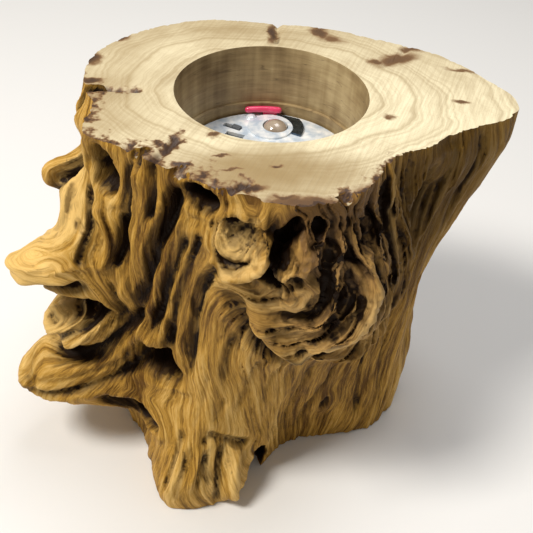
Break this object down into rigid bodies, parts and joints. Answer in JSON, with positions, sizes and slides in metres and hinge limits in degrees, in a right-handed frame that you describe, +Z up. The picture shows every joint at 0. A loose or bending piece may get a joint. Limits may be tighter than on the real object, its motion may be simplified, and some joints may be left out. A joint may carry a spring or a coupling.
{
  "type": "tealight holder",
  "caption": "Tealight holder carved from a gnarled root: flat sawn top with a round well, and a lift-out flameless light with polished face, lens, switch and battery cap.",
  "frame": {"origin": "on the surface that the holder stands on, straight under the centre of the tealight well", "axes": "+Z up along the well's axis, +X to the long right lobe of the top, -Y to the front foot"},
  "size_m": [0.1067, 0.0795, 0.085],
  "materials": {
    "root_wood": "dry weathered root wood, pale sawn top",
    "white_plastic": "satin",
    "steel": "satin",
    "contact_brass": "plated",
    "board_green": "solder mask",
    "black_plastic": "moulded",
    "led_yellow": "phosphor",
    "clear_lens": "clear, slightly smoked",
    "grey_plastic": "moulded",
    "polished_plate": "polished",
    "blued_steel": "blued",
    "pink_plastic": "glossy"
  },
  "bodies": {
    "holder": {"root_body": "root_wood"},
    "light": {"light_tray": "white_plastic", "coin_cell": "steel", "contact_negative": "contact_brass", "contact_positive": "contact_brass", "circuit_board": "board_green", "driver_chip": "black_plastic", "resistors": "black_plastic", "led_emitter": "led_yellow", "led_lens": "clear_lens", "switch_housing": "black_plastic", "face_plate": "polished_plate", "lens_bezel": "polished_plate", "bezel_clip": "blued_steel", "face_screws": "polished_plate", "lift_tab": "pink_plastic"},
    "cap": {"battery_cap": "white_plastic"},
    "switch": {"switch_slider": "grey_plastic"}
  },
  "joints": [
    {"name": "light_lift", "type": "slide", "parent": "holder", "child": "light", "axis": [0, 0, 1], "range_m": [0, 0.035]},
    {"name": "cap_twist", "type": "hinge", "parent": "light", "child": "cap", "pos_m": [0, 0, 0.059], "axis": [0, 0, 1], "range_deg": [0, 35]},
    {"name": "switch_slide", "type": "slide", "parent": "light", "child": "switch", "axis": [-0.9063, 0.4226, 0], "range_m": [0, 0.002]}
  ]
}
